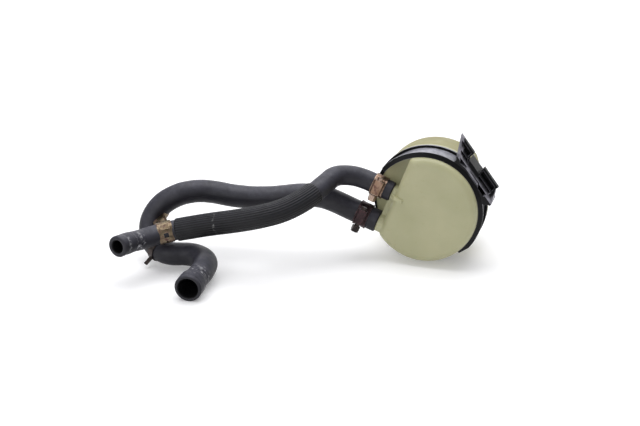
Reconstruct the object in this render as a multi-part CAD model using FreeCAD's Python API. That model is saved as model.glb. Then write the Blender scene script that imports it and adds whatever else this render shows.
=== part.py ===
import FreeCAD, Part
import os
from math import atan2, cos, degrees, pi, radians, sin, sqrt, tan

# Power steering reservoir lying on its side, with its return and suction hoses.
# The tank and all that is fixed to it are drawn upright in a tank frame: +Z runs from the sump's
# flat bottom to the filler cap, and the bottom is at Z = 0. LAID turns the tank onto the floor.
# The hoses' route points are in the laid frame: X across, Y away from the sump's bottom, Z up,
# with X = 0 on the tank's axis, Y = 0 at the centre of the bottom and Z = 0 on the floor.

Vector = FreeCAD.Vector
X_AXIS = Vector(1, 0, 0)
Z_AXIS = Vector(0, 0, 1)

# Tank shells
TANK_R = 52.0
WALL = 2.5
SUMP_CUT = 21.0             # depth of the flat wall that carries the spigots, from the tank's side
SUMP_HEIGHT = 27.0          # from the bottom to the shelf beside the sump
SUMP_EDGE_R = 6.5
SUMP_CORNER_R = 5.0
SUMP_CHORD = TANK_R - SUMP_CUT
SEAM_Z = 40.0
SEAM_REACH = 4.2
SEAM_FLANGE_T = 3.0
SEAM_FLANGE_R = TANK_R + SEAM_REACH
UPPER_STEP = 3.3
UPPER_HEIGHT = 29.0
UPPER_R = TANK_R + UPPER_STEP
SHOULDER_Z = SEAM_Z + UPPER_HEIGHT
DOME_R = 16.0
DOME_RISE = 4.0
CROWN_Z = SHOULDER_Z + DOME_R
UPPER_FLAT_ANGLE = -12.0    # the upper shell is flat on the side behind the bracket
UPPER_FLAT_DEPTH = 11.8
UPPER_FLAT_LIFT = 3.0       # from the seam flange's top to the foot of the flat
UPPER_FLAT_V = UPPER_R - UPPER_FLAT_DEPTH
UPPER_FLAT_Z = SEAM_Z + SEAM_FLANGE_T + UPPER_FLAT_LIFT

# Filler neck, cap and dipstick
NECK_R = 21.0
NECK_WALL = 2.6
NECK_HEIGHT = 19.0
NECK_FOOT_T = 4.4
NECK_FOOT_RISE = 0.8
NECK_TOP_Z = CROWN_Z + NECK_HEIGHT
LUG_COUNT = 3
LUG_SPAN = 70.0
LUG_DEPTH = 1.1
LUG_HEIGHT = 2.4
LUG_DROP = 5.0
SEAL_T = 2.4
SEAL_WIDTH = 4.0
SEAL_PLAY = 0.1
CAP_CLEARANCE = 0.4
CAP_SKIRT_T = 6.5
CAP_SKIRT_DROP = 12.5
CAP_TOP_T = 3.2
CAP_EDGE = 2.0
CAP_R = NECK_R + LUG_DEPTH + CAP_CLEARANCE + CAP_SKIRT_T
SEAL_TOP_Z = NECK_TOP_Z + SEAL_T
CAP_ROOF_Z = SEAL_TOP_Z + SEAL_PLAY
CAP_FLUTES = 18
CAP_FLUTE_R = 2.6
GRIP_LENGTH = 40.0
GRIP_WIDTH = 9.0
GRIP_HEIGHT = 6.0
GRIP_EDGE_R = 2.0
STICK_BOSS_R = 6.0
STICK_BOSS_H = 9.0
STICK_WIDTH = 8.0
STICK_T = 2.4
STICK_CLEARANCE = 5.0
STICK_FOOT_WIDTH = 13.0
STICK_FOOT_H = 12.0

# Strainer between the shells
STRAINER_T = 2.0
STRAINER_RIM = 6.0
STRAINER_HUB_R = 7.0
STRAINER_SPOKES = 6
STRAINER_SPOKE_W = 3.0
STRAINER_CLEARANCE = 0.3
MESH_T = 0.6

# Mounting band, a channel round the lower shell just below its seam
BAND_WIDTH = 27.0
BAND_SEAM_GAP = 1.0
BAND_LIP = 2.6
BAND_FLANGE_T = 2.2
BAND_FLOOR_T = 1.8
BAND_CLEARANCE = 0.1
BAND_NOSE = 2.5             # how far the front flange slopes forward down to the tank
BAND_INNER_R = TANK_R + BAND_CLEARANCE
BAND_FLOOR_R = BAND_INNER_R + BAND_FLOOR_T
BAND_FLANGE_R = BAND_FLOOR_R + BAND_LIP
BAND_BACK_Z = SEAM_Z - SEAM_FLANGE_T - BAND_SEAM_GAP
BAND_FRONT_Z = BAND_BACK_Z - BAND_WIDTH
BAND_RELIEF_SPAN = 172.0    # front of the band is cut back over this angle, hoses and underside
BAND_RELIEF_CENTRE = 134.0
BAND_RELIEF_WIDTH = 17.0
BAND_TAIL_ANGLE = 55.0      # the band is planed down here, where its front part runs out
BAND_TAIL_CUT = 2.7

# Hook bracket on the band. V is the distance from the tank's axis, U runs across the bracket.
BRACKET_ANGLE = -38.0
BASE_PROUD = 0.5
MIDDLE_RISE = 5.5
PLATE_RISE = 11.0
PLATE_SETBACK = 14.0        # how far the sloping front face leans back between base and plates
PLATE_T = 1.8
PLATE_STEP = 8.0            # the hooks are this much shorter than the band at the back
HOOK_1_U = -40.0
HOOK_2_U = -1.5
HOOK_1_LENGTH = 22.0
HOOK_2_LENGTH = 23.5
HOOK_1_LEAN = 16.5          # how far the tall outer wall leans in on its way down to the band
HOOK_FOOT_LEAN = 10.0
HOOK_WALL = 1.5
HOOK_THICK_WALL = 4.5
HOOK_END_LIP = 1.0
BASE_TOE = 8.0              # how far the base runs past the second hook
BASE_SKIRT = 6.0
BASE_SKIRT_LEAN = 3.5
RIB_T = 1.0
RIB_GAP = 3.4
RIB_ROWS = 2
POCKET_BACK_T = 2.5
SLOT_LIFT = 1.0
SLOT_H = 0.8
BASE_V = BAND_FLANGE_R + BASE_PROUD
MIDDLE_V = BASE_V + MIDDLE_RISE
PLATE_V = BASE_V + PLATE_RISE
ROOT_V = BAND_INNER_R - BAND_LIP
PLATE_BACK_Z = BAND_BACK_Z - PLATE_STEP

# Hoses
RETURN_OD = 19.5
RETURN_ID = 12.0
SUCTION_OD = 22.5
SUCTION_ID = 15.5
BELL_OD = 25.6              # the suction hose's open end is widened
BELL_ID = 19.0
BELL_LENGTH = 14.0
BELL_TAPER = 4.0
CORNER_SHARE = 0.45
FIRST_RUN = 11.7

# Spigots
SPIGOT_ANGLE = -160.0
SPIGOT_Z = 12.0
RETURN_OFFSET = 0.5
SUCTION_OFFSET = -34.0
RETURN_STANDOFF = 4.0       # from the sump's flat wall to the hose's end face
SUCTION_STANDOFF = 5.5
RETURN_START = SUMP_CHORD + RETURN_STANDOFF
SUCTION_START = SUMP_CHORD + SUCTION_STANDOFF
SPIGOT_GRIP = 24.0
SPIGOT_WALL = 1.5
SPIGOT_BARB = 0.7
SPIGOT_LEAD = 5.0
SPIGOT_COLLAR = 1.7
HOSE_END_GAP = 0.5
WEB_T = 3.6
WEB_REACH = 5.0
GUSSET_T = 3.2
GUSSET_INSET = 4.5
GUSSET_PROUD = 2.0

# Ribbed sleeve on the return hose. It starts and ends at the middle of a run near these places.
SLEEVE_T = 1.3
SLEEVE_FIT = 0.1
SLEEVE_START = 99.0
SLEEVE_END = 241.0

# Hose clamps
CLAMP_FIT = 0.1
CLAMP_BAND_T = 1.0
CLAMP_BAND_W = 12.5
CLAMP_LIP = 0.8
RETURN_CLAMP_AT = 14.0      # from the hose's end face to the middle of the clamp
SUCTION_CLAMP_AT = 16.0
CLAMP_LEAN = 12.0
SCREW_R = 2.7
SCREW_PLAY = 0.15
SCREW_GAP = 0.5
SCREW_TAIL = 3.0
SCREW_HEAD_AF = 7.0
SCREW_HEAD_L = 6.0
SCREW_NECK_R = 2.2
SCREW_SLOT_W = 1.2
SCREW_SLOT_D = 1.6
RETURN_SCREW_REACH = 8.0    # from the clamp's middle to the underside of the screw's head
SUCTION_SCREW_REACH = 10.0
HOUSING_LENGTH = 14.0
HOUSING_SIDE_T = 2.3
HOUSING_ROOF_T = 0.8
HOUSING_FOOT = 1.5
HOUSING_EDGE_R = 2.5

# Spring steel clips, placed by their distance along the hose's route
CLIP_FIT = 0.1
CLIP_T = 0.9
CLIP_FRONT_W = 14.0
CLIP_REAR_W = 11.0
CLIP_BRIDGE_W = 13.5
CLIP_WINDOW_W = 8.5
CLIP_WINDOW_L = 9.0
CLIP_SQUARE = 4.6           # square window in the front ring
CLIP_HOLE_R = 1.3
CLIP_TAB_W = 6.0
CLIP_FRONT_AT = 252.0
CLIP_REAR_AT = 232.0
ELBOW_CLIP_AT = 279.0
ELBOW_CLIP_W = 6.0
EAR_L = 9.0
EAR_W = 4.0

# The tank lies on the band's rear flange and on its own shoulder, which sets its tilt.
TILT = degrees(atan2(BAND_FLANGE_R - UPPER_R, SHOULDER_Z - BAND_BACK_Z))
AXIS_HEIGHT = BAND_BACK_Z * sin(radians(TILT)) + BAND_FLANGE_R * cos(radians(TILT))
LAID = FreeCAD.Placement(Vector(0, 0, AXIS_HEIGHT), FreeCAD.Rotation(X_AXIS, -90 - TILT))

RETURN_BENDS = [
    (-66, 12.5, 82.3), (-86, -2, 87), (-91.5, -24, 82.3), (-102.5, -44, 74.5), (-120, -57.5, 65.7),
    (-141, -66.5, 60.3), (-164, -71, 55), (-186, -72, 50), (-209, -74, 44), (-232, -80, 39),
    (-246, -98, 37), (-253, -120, 41), (-255, -132, 42),
]
SUCTION_BENDS = [
    (-79, 11, 50), (-97, 0, 62), (-119, -9, 65), (-141, -14, 61), (-164, -18, 59),
    (-188, -21, 60), (-211, -25, 64), (-231, -36, 64), (-251, -46, 54), (-261, -55, 36),
    (-254, -67, 19), (-234, -75, 13), (-212, -65.5, 13), (-190, -76.5, 13),
    (-185, -103, 13), (-184.5, -126, 13), (-183.2, -138, 13),
]


def outward(angle):
    """Unit vector that leaves the tank's axis at this angle."""
    return Vector(cos(radians(angle)), sin(radians(angle)), 0)


def beside(angle, along, across, z):
    """Point at a distance along outward(angle), moved across it and up to z."""
    return outward(angle) * along + outward(angle + 90) * across + Z_AXIS * z


def cylinder(radius, low, high):
    return Part.makeCylinder(radius, high - low, Vector(0, 0, low))


def ring(outer, inner, low, high):
    return cylinder(outer, low, high).cut(cylinder(inner, low, high))


def revolve(profile):
    """Solid of revolution about Z from (radius, z) corners."""
    points = [Vector(r, 0, z) for r, z in profile]
    face = Part.Face(Part.makePolygon(points + points[:1]))
    return face.revolve(Vector(), Z_AXIS, 360)


def prism(corners, angle, low, high):
    """Prism along Z on (along, across) corners, seen from the direction of angle."""
    points = [beside(angle, along, across, low) for along, across in corners]
    face = Part.Face(Part.makePolygon(points + points[:1]))
    return face.extrude(Z_AXIS * (high - low))


def fuse(first, *others):
    return first.multiFuse(list(others)).removeSplitter()


def block(centre, along, across, up, length, width, height):
    """Box about a centre, with its length, width and height along three directions."""
    box = Part.makeBox(length, width, height, Vector(-length / 2, -width / 2, -height / 2))
    turn = FreeCAD.Rotation(along, across, up, "XYZ")
    box.Placement = FreeCAD.Placement(centre, turn)
    return box


def rod(centre, direction, radius, start, end):
    return Part.makeCylinder(radius, end - start, centre + direction * start, direction)


def tank_form(inset):
    """The lower tank's outer form, or its hollow when set in by the wall."""
    radius, chord = TANK_R - inset, SUMP_CHORD - inset
    half = sqrt(radius ** 2 - chord ** 2)
    sump = cylinder(radius, inset, SUMP_HEIGHT + inset)
    far = 2 * TANK_R
    sump = sump.cut(prism([(chord, -far), (far, -far), (far, far), (chord, far)],
                          SPIGOT_ANGLE, inset, SUMP_HEIGHT + inset))
    corners = [beside(SPIGOT_ANGLE, chord, side * half, 0) for side in (-1, 1)]
    upright = [e for e in sump.Edges if min(distance_xy(e, c) for c in corners) < 0.01]
    sump = sump.makeFillet(SUMP_CORNER_R - inset / 2, upright)
    lowest = [e for e in sump.Edges if e.BoundBox.ZMax < inset + 0.01]
    sump = sump.makeFillet(SUMP_EDGE_R - inset, lowest)
    return fuse(sump, cylinder(radius, SUMP_HEIGHT + inset, SEAM_Z))


def distance_xy(edge, point):
    """How far an edge's two ends lie from a point, seen along Z."""
    ends = [edge.valueAt(edge.FirstParameter), edge.valueAt(edge.LastParameter)]
    return max(sqrt((p.x - point.x) ** 2 + (p.y - point.y) ** 2) for p in ends)


def spigot(bore, offset, start):
    """Barbed spigot with its collar, and the cutter for its waterway."""
    barrel, reach = bore / 2, start + SPIGOT_GRIP
    collar_end = start - HOSE_END_GAP
    inside = SUMP_CHORD - WALL
    profile = [
        (0, inside), (barrel + SPIGOT_COLLAR, inside), (barrel + SPIGOT_COLLAR, collar_end),
        (barrel, collar_end), (barrel, reach - SPIGOT_LEAD), (barrel + SPIGOT_BARB, reach - SPIGOT_LEAD),
        (barrel - SPIGOT_WALL / 2, reach), (0, reach),
    ]
    turn = FreeCAD.Rotation(Z_AXIS, outward(SPIGOT_ANGLE))
    place = FreeCAD.Placement(beside(SPIGOT_ANGLE, 0, offset, SPIGOT_Z), turn)
    body = revolve(profile)
    waterway = cylinder(barrel - SPIGOT_WALL, inside - WALL, reach + 1)
    body.Placement = place
    waterway.Placement = place
    return body, waterway


def spigot_ribs():
    """Web between the two spigots and the gusset that runs onto the tank's bottom."""
    wall = SUMP_CHORD - WALL / 2
    web = prism([(wall, SUCTION_OFFSET), (SUMP_CHORD + WEB_REACH, SUCTION_OFFSET),
                 (SUMP_CHORD + WEB_REACH, RETURN_OFFSET), (wall, RETURN_OFFSET)],
                SPIGOT_ANGLE, SPIGOT_Z - WEB_T / 2, SPIGOT_Z + WEB_T / 2)
    inner = SUMP_CHORD - SUMP_EDGE_R - GUSSET_INSET
    outer = RETURN_START - HOSE_END_GAP
    side = RETURN_OFFSET - GUSSET_T / 2
    points = [beside(SPIGOT_ANGLE, along, side, z) for along, z in (
        (inner, WALL / 2), (inner + GUSSET_PROUD, -GUSSET_PROUD), (SUMP_CHORD - 1, -GUSSET_PROUD),
        (outer, SPIGOT_Z / 3), (outer, SPIGOT_Z), (inner, SPIGOT_Z))]
    gusset = Part.Face(Part.makePolygon(points + points[:1]))
    gusset = gusset.extrude(outward(SPIGOT_ANGLE + 90) * GUSSET_T)
    return web, gusset


def lower_shell():
    outer, hollow = tank_form(0), tank_form(WALL)
    flange = ring(SEAM_FLANGE_R, TANK_R - WALL / 2, SEAM_Z - SEAM_FLANGE_T, SEAM_Z)
    return_body, return_way = spigot(RETURN_ID, RETURN_OFFSET, RETURN_START)
    suction_body, suction_way = spigot(SUCTION_ID, SUCTION_OFFSET, SUCTION_START)
    web, gusset = spigot_ribs()
    shell = fuse(outer, flange, return_body, suction_body, web, gusset)
    return shell.cut(hollow).cut(return_way).cut(suction_way).removeSplitter()


def dome_profile(inset):
    """Half section of the upper shell's outside, or of its hollow when set in."""
    radius, bend = UPPER_R - inset, DOME_R - inset
    top = SHOULDER_Z + bend + DOME_RISE
    steps = 8
    points = [(0, SEAM_Z), (radius, SEAM_Z), (radius, SHOULDER_Z)]
    for step in range(1, steps + 1):
        angle = pi / 2 * step / steps
        points.append((radius - bend + bend * cos(angle), SHOULDER_Z + bend * sin(angle)))
    return points + [(NECK_R - NECK_WALL, top), (0, top)]


def upper_form(inset):
    """The upper shell's outer form, or its hollow when set in by the wall."""
    chord, far = UPPER_FLAT_V - inset, 2 * TANK_R
    flat = prism([(chord, -far), (far, -far), (far, far), (chord, far)],
                 UPPER_FLAT_ANGLE, UPPER_FLAT_Z - inset, NECK_TOP_Z)
    return revolve(dome_profile(inset)).cut(flat)


def upper_shell():
    flange = ring(SEAM_FLANGE_R, UPPER_R - WALL / 2, SEAM_Z, SEAM_Z + SEAM_FLANGE_T)
    neck = cylinder(NECK_R, CROWN_Z - WALL / 2, NECK_TOP_Z)
    foot = ring(NECK_R + NECK_FOOT_T, NECK_R - WALL / 2, CROWN_Z, CROWN_Z + DOME_RISE + NECK_FOOT_RISE)
    lugs = [neck_lug(i) for i in range(LUG_COUNT)]
    shell = fuse(upper_form(0), flange, neck, foot, *lugs)
    throat = cylinder(NECK_R - NECK_WALL, SHOULDER_Z, NECK_TOP_Z)
    return shell.cut(upper_form(WALL)).cut(throat).removeSplitter()


def neck_lug(index):
    """One of the rounded lugs that draw the cap down."""
    top = NECK_TOP_Z - LUG_DROP
    inside = NECK_R - NECK_WALL / 2
    profile = [Vector(inside, 0, top - LUG_HEIGHT), Vector(NECK_R, 0, top - LUG_HEIGHT),
               Vector(NECK_R + LUG_DEPTH, 0, top - LUG_HEIGHT / 2), Vector(NECK_R, 0, top),
               Vector(inside, 0, top)]
    lug = Part.Face(Part.makePolygon(profile + profile[:1])).revolve(Vector(), Z_AXIS, LUG_SPAN)
    lug.rotate(Vector(), Z_AXIS, index * 360 / LUG_COUNT)
    return lug


def strainer_frame():
    outer = UPPER_R - WALL - STRAINER_CLEARANCE
    inner = TANK_R - WALL - STRAINER_RIM
    top = SEAM_Z + STRAINER_T
    reach = inner + STRAINER_RIM / 4
    spokes = [prism([(0, -STRAINER_SPOKE_W / 2), (reach, -STRAINER_SPOKE_W / 2),
                     (reach, STRAINER_SPOKE_W / 2), (0, STRAINER_SPOKE_W / 2)],
                    i * 360 / STRAINER_SPOKES, SEAM_Z, top) for i in range(STRAINER_SPOKES)]
    return fuse(ring(outer, inner, SEAM_Z, top), cylinder(STRAINER_HUB_R, SEAM_Z, top), *spokes)


def strainer_mesh():
    return cylinder(TANK_R - WALL - STRAINER_CLEARANCE, SEAM_Z - MESH_T, SEAM_Z)


def filler_cap():
    top = CAP_ROOF_Z + CAP_TOP_T
    skirt = NECK_TOP_Z - CAP_SKIRT_DROP
    bore = CAP_R - CAP_SKIRT_T
    body = revolve([(0, skirt), (CAP_R, skirt), (CAP_R, top - CAP_EDGE), (CAP_R - CAP_EDGE, top), (0, top)])
    grip = block(Vector(0, 0, top + GRIP_HEIGHT / 2), X_AXIS, Vector(0, 1, 0), Z_AXIS,
                 GRIP_LENGTH, GRIP_WIDTH, GRIP_HEIGHT)
    grip = grip.makeFillet(GRIP_EDGE_R, [e for e in grip.Edges if e.BoundBox.ZMax > top + GRIP_HEIGHT / 2
                                         and e.BoundBox.ZMin > top + GRIP_HEIGHT / 4])
    body = fuse(body, grip)
    flutes = [rod(outward(i * 360 / CAP_FLUTES) * (CAP_R + CAP_FLUTE_R / 2), Z_AXIS,
                  CAP_FLUTE_R, skirt - WALL, top + WALL) for i in range(CAP_FLUTES)]
    hollow = cylinder(bore, skirt - WALL, CAP_ROOF_Z)
    return body.cut(Part.makeCompound(flutes)).cut(hollow)


def cap_seal():
    return ring(NECK_R, NECK_R - SEAL_WIDTH, NECK_TOP_Z, SEAL_TOP_Z)


def dipstick():
    foot_z = SEAM_Z + STRAINER_T + STICK_CLEARANCE
    boss = cylinder(STICK_BOSS_R, SEAL_TOP_Z - STICK_BOSS_H, SEAL_TOP_Z)
    length = SEAL_TOP_Z - STICK_BOSS_H / 2 - foot_z
    blade = block(Vector(0, 0, foot_z + length / 2), X_AXIS, Vector(0, 1, 0), Z_AXIS,
                  STICK_WIDTH, STICK_T, length)
    foot = block(Vector(0, 0, foot_z + STICK_FOOT_H / 2), X_AXIS, Vector(0, 1, 0), Z_AXIS,
                 STICK_FOOT_WIDTH, STICK_T, STICK_FOOT_H)
    return fuse(boss, blade, foot)


def bracket_prism(corners, low=BAND_FRONT_Z, high=BAND_BACK_Z):
    return prism(corners, BRACKET_ANGLE, low, high)


def sloped_front():
    """Everything in front of the bracket's sloping face, which leans back from the base."""
    far = 4 * PLATE_RISE
    lean = PLATE_SETBACK / PLATE_RISE
    side = outward(BRACKET_ANGLE + 90) * PLATE_V
    points = [outward(BRACKET_ANGLE) * v + Z_AXIS * z for v, z in (
        (BASE_V, BAND_FRONT_Z), (BASE_V + far, BAND_FRONT_Z + lean * far),
        (BASE_V + far, BAND_FRONT_Z - far), (BASE_V, BAND_FRONT_Z - far))]
    face = Part.Face(Part.makePolygon([p - side for p in points + points[:1]]))
    return face.extrude(side * 2)


def hook_pocket(corners):
    """Cored pocket behind a hook plate, with the thin ribs that stay in it."""
    low, high = BAND_FRONT_Z - WALL, PLATE_BACK_Z - POCKET_BACK_T
    pocket = bracket_prism(corners, low, high)
    across = [u for v, u in corners]
    left, right = min(across) - WALL, max(across) + WALL
    for number in range(1, RIB_ROWS + 1):
        top = PLATE_V - PLATE_T - number * RIB_GAP
        rib = bracket_prism([(top, left), (top, right), (top - RIB_T, right), (top - RIB_T, left)],
                            low, high)
        pocket = pocket.cut(rib)
    return pocket


def hook_1():
    """The outer hook: its tall wall leans in and down to the band."""
    start, end = HOOK_1_U, HOOK_1_U + HOOK_1_LENGTH
    foot = end + HOOK_FOOT_LEAN
    under = PLATE_V - PLATE_T
    body = bracket_prism([(PLATE_V, start), (PLATE_V, end), (MIDDLE_V, end), (BASE_V - PLATE_T, foot),
                          (ROOT_V, start + HOOK_1_LEAN), (BAND_FLOOR_R, start + HOOK_1_LEAN)],
                         high=PLATE_BACK_Z)
    inner = start + HOOK_1_LEAN + HOOK_THICK_WALL
    pocket = hook_pocket([(under, start + HOOK_THICK_WALL), (under, end - HOOK_WALL),
                          (MIDDLE_V, end - HOOK_WALL), (BASE_V + PLATE_T, foot - HOOK_THICK_WALL),
                          (BASE_V, foot - HOOK_THICK_WALL), (BASE_V - PLATE_T, inner)])
    return body, pocket


def hook_2():
    """The inner hook, at the base's long end."""
    start, end = HOOK_2_U, HOOK_2_U + HOOK_2_LENGTH
    foot = start + HOOK_FOOT_LEAN
    under = PLATE_V - PLATE_T
    body = bracket_prism([(PLATE_V, start), (PLATE_V, end), (under, end - HOOK_END_LIP),
                          (BASE_V, end + BASE_TOE), (BASE_V - PLATE_T, end + BASE_TOE),
                          (BASE_V - PLATE_T, foot), (MIDDLE_V - PLATE_T, start + HOOK_WALL)],
                         high=PLATE_BACK_Z)
    pocket = hook_pocket([(under, start + HOOK_WALL), (under, end - HOOK_END_LIP - HOOK_WALL),
                          (MIDDLE_V - HOOK_WALL, end - HOOK_END_LIP),
                          (BASE_V - HOOK_WALL, end - 2 * HOOK_WALL),
                          (BASE_V - HOOK_WALL, foot + HOOK_WALL),
                          (MIDDLE_V - PLATE_T, start + 2 * HOOK_WALL)])
    return body, pocket


def bracket():
    """Tangential base with two leaning hooks, cored from the front."""
    end_1 = HOOK_1_U + HOOK_1_LENGTH
    end_2 = HOOK_2_U + HOOK_2_LENGTH
    foot_1, foot_2 = end_1 + HOOK_FOOT_LEAN, HOOK_2_U + HOOK_FOOT_LEAN
    toe = end_2 + BASE_TOE
    base = bracket_prism([(ROOT_V, HOOK_1_U + HOOK_1_LEAN), (BAND_FLOOR_R, HOOK_1_U + HOOK_1_LEAN),
                          (BASE_V, foot_1 - HOOK_THICK_WALL), (BASE_V, toe),
                          (BASE_V - BASE_SKIRT, toe - BASE_SKIRT_LEAN),
                          (ROOT_V, end_2 - BASE_SKIRT_LEAN)])
    low = BASE_V - PLATE_T
    middle = bracket_prism([(MIDDLE_V, end_1 + PLATE_T), (MIDDLE_V, HOOK_2_U + PLATE_T),
                            (low, foot_2), (low, foot_1 - PLATE_T)])
    slot_v = BASE_V + SLOT_LIFT
    slot = bracket_prism([(slot_v + SLOT_H, foot_1), (slot_v + SLOT_H, foot_2 - PLATE_T),
                          (slot_v, foot_2), (slot_v, foot_1 + SLOT_H)],
                         BAND_FRONT_Z - WALL, BAND_BACK_Z - POCKET_BACK_T)
    body_1, pocket_1 = hook_1()
    body_2, pocket_2 = hook_2()
    solid = fuse(base, body_1, middle, body_2)
    for cutter in (sloped_front(), pocket_1, pocket_2, slot):
        solid = solid.cut(cutter)
    return solid


def mounting_band():
    inner, front, back = BAND_INNER_R, BAND_FRONT_Z, BAND_BACK_Z
    low, far = front - BAND_NOSE - WALL, 2 * TANK_R
    channel = revolve([
        (inner, front - BAND_NOSE), (BAND_FLANGE_R, front), (BAND_FLANGE_R, front + BAND_FLANGE_T),
        (BAND_FLOOR_R, front + BAND_FLANGE_T), (BAND_FLOOR_R, back - BAND_FLANGE_T),
        (BAND_FLANGE_R, back - BAND_FLANGE_T), (BAND_FLANGE_R, back), (inner, back)])
    wedge = [(0, 0)]
    reach = 3 * TANK_R
    for share in (-0.5, -0.25, 0, 0.25, 0.5):
        turn = radians(share * BAND_RELIEF_SPAN)
        wedge.append((reach * cos(turn), reach * sin(turn)))
    relief = prism(wedge, BAND_RELIEF_CENTRE, low, front + BAND_RELIEF_WIDTH)
    edge = BAND_FLANGE_R - BAND_TAIL_CUT
    tail = prism([(edge, -far), (far, -far), (far, far), (edge, far)], BAND_TAIL_ANGLE, low, back + WALL)
    hub = cylinder(inner, low, back + WALL)
    return fuse(channel.cut(relief).cut(tail), bracket().cut(hub))


def corner_radius(points, index):
    """Radius and tangent length of the arc that rounds a route's corner."""
    before = points[index] - points[index - 1]
    after = points[index + 1] - points[index]
    turn = before.getAngle(after)
    length = CORNER_SHARE * min(before.Length, after.Length)
    return length / tan(turn / 2), length


def corner_arc(points, index):
    """Start, middle and end of the arc at a route's corner."""
    corner = points[index]
    radius, length = corner_radius(points, index)
    back = (points[index - 1] - corner).normalize()
    ahead = (points[index + 1] - corner).normalize()
    inward = (back + ahead).normalize()
    middle = corner + inward * (sqrt(radius ** 2 + length ** 2) - radius)
    return corner + back * length, middle, corner + ahead * length


def on_run(points, place):
    run, share = place
    return points[run] + (points[run + 1] - points[run]) * share


def run_near(points, distance):
    """Middle of the run that lies nearest to a distance along the route's points."""
    ends = route_distances(points)
    runs = range(len(points) - 1)
    return min(runs, key=lambda i: abs((ends[i] + ends[i + 1]) / 2 - distance)), 0.5


def corner_near(points, distance):
    ends = route_distances(points)
    return min(range(1, len(points) - 1), key=lambda i: abs(ends[i] - distance))


def route_distances(points):
    total = [0.0]
    for before, after in zip(points, points[1:]):
        total.append(total[-1] + (after - before).Length)
    return total


def route_wire(points, begin, finish):
    """Straight runs joined by tangent arcs, between two places on a route."""
    edges = []
    here = on_run(points, begin)
    for index in range(begin[0] + 1, finish[0] + 1):
        start, middle, end = corner_arc(points, index)
        edges.append(Part.LineSegment(here, start).toShape())
        edges.append(Part.Arc(start, middle, end).toShape())
        here = end
    edges.append(Part.LineSegment(here, on_run(points, finish)).toShape())
    return Part.Wire(edges)


def pipe(path, radius):
    start = path.OrderedEdges[0]
    circle = Part.Circle(start.valueAt(start.FirstParameter),
                         start.tangentAt(start.FirstParameter), radius)
    return path.makePipeShell([Part.Wire(circle.toShape())], True, True)


def tube(path, outer, inner):
    return pipe(path, outer).cut(pipe(path, inner))


def hose_route(offset, start, bends):
    """Route points from the hose's end face on its spigot to its open end."""
    exit_point = LAID.multVec(beside(SPIGOT_ANGLE, start, offset, SPIGOT_Z))
    away = LAID.Rotation.multVec(outward(SPIGOT_ANGLE))
    return [exit_point, exit_point + away * FIRST_RUN] + [Vector(*bend) for bend in bends]


def ends_of(points):
    return (0, 0.0), (len(points) - 2, 1.0)


def hose(points, outer, inner):
    return tube(route_wire(points, *ends_of(points)), outer / 2, inner / 2)


def end_form(points, wide, narrow):
    """Round form about a route's open end, which tapers back to the narrower radius."""
    profile = [(0, 0), (wide, 0), (wide, -BELL_LENGTH), (narrow, -BELL_LENGTH - BELL_TAPER),
               (0, -BELL_LENGTH - BELL_TAPER)]
    form = revolve(profile)
    form.Placement = FreeCAD.Placement(points[-1], FreeCAD.Rotation(Z_AXIS, points[-1] - points[-2]))
    return form


def belled_hose(points, outer, inner):
    """Hose whose open end is widened inside and out."""
    path = route_wire(points, *ends_of(points))
    solid = pipe(path, outer / 2).fuse(end_form(points, BELL_OD / 2, outer / 2))
    return solid.cut(pipe(path, inner / 2)).cut(end_form(points, BELL_ID / 2, inner / 2)).removeSplitter()


def clamp_frame(offset, start, distance):
    """Centre of a clamp, its hose's direction, the side its housing is on, and its screw's way."""
    centre = beside(SPIGOT_ANGLE, start + distance, offset, SPIGOT_Z)
    along = outward(SPIGOT_ANGLE)
    sideways = outward(SPIGOT_ANGLE + 90)
    lean = radians(CLAMP_LEAN)
    face = sideways * sin(lean) - Z_AXIS * cos(lean)
    screw = sideways * -cos(lean) - Z_AXIS * sin(lean)
    return centre, along, face, screw


def clamp_band(frame, hose_r):
    """Steel band with turned-up lips and the slots that the worm runs in."""
    centre, along, face, screw = frame
    inner = hose_r + CLAMP_FIT
    outer = inner + CLAMP_BAND_T
    half = CLAMP_BAND_W / 2
    band = rod(centre, along, outer, -half, half)
    for side in (-1, 1):
        low, high = sorted((side * half, side * (half - CLAMP_LIP)))
        band = band.fuse(rod(centre, along, outer + CLAMP_LIP / 2, low, high))
    band = band.cut(rod(centre, along, inner, -half - WALL, half + WALL))
    return band.removeSplitter()


def clamp_housing(frame, hose_r):
    """Folded housing that holds the worm screw against the band."""
    centre, along, face, screw = frame
    outer = hose_r + CLAMP_FIT + CLAMP_BAND_T
    height = HOUSING_FOOT + SCREW_GAP + 2 * SCREW_R + HOUSING_ROOF_T
    width = 2 * (SCREW_R + HOUSING_SIDE_T)
    seat = centre + face * (outer - HOUSING_FOOT + height / 2)
    body = block(seat, screw, along, screw.cross(along), HOUSING_LENGTH, width, height)
    rounded = [e for e in body.Edges if abs(e.tangentAt(e.FirstParameter).dot(screw)) > 0.99
               and (e.CenterOfMass - seat).dot(face) > 0]
    body = body.makeFillet(HOUSING_EDGE_R, rounded)
    saddle = rod(centre, along, outer + CLAMP_FIT / 2, -CLAMP_BAND_W, CLAMP_BAND_W)
    bore = rod(screw_centre(frame, hose_r), screw, SCREW_R + SCREW_PLAY,
               -HOUSING_LENGTH, HOUSING_LENGTH)
    return body.cut(saddle).cut(bore)


def screw_centre(frame, hose_r):
    centre, along, face, screw = frame
    return centre + face * (hose_r + CLAMP_FIT + CLAMP_BAND_T + SCREW_GAP + SCREW_R)


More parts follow.
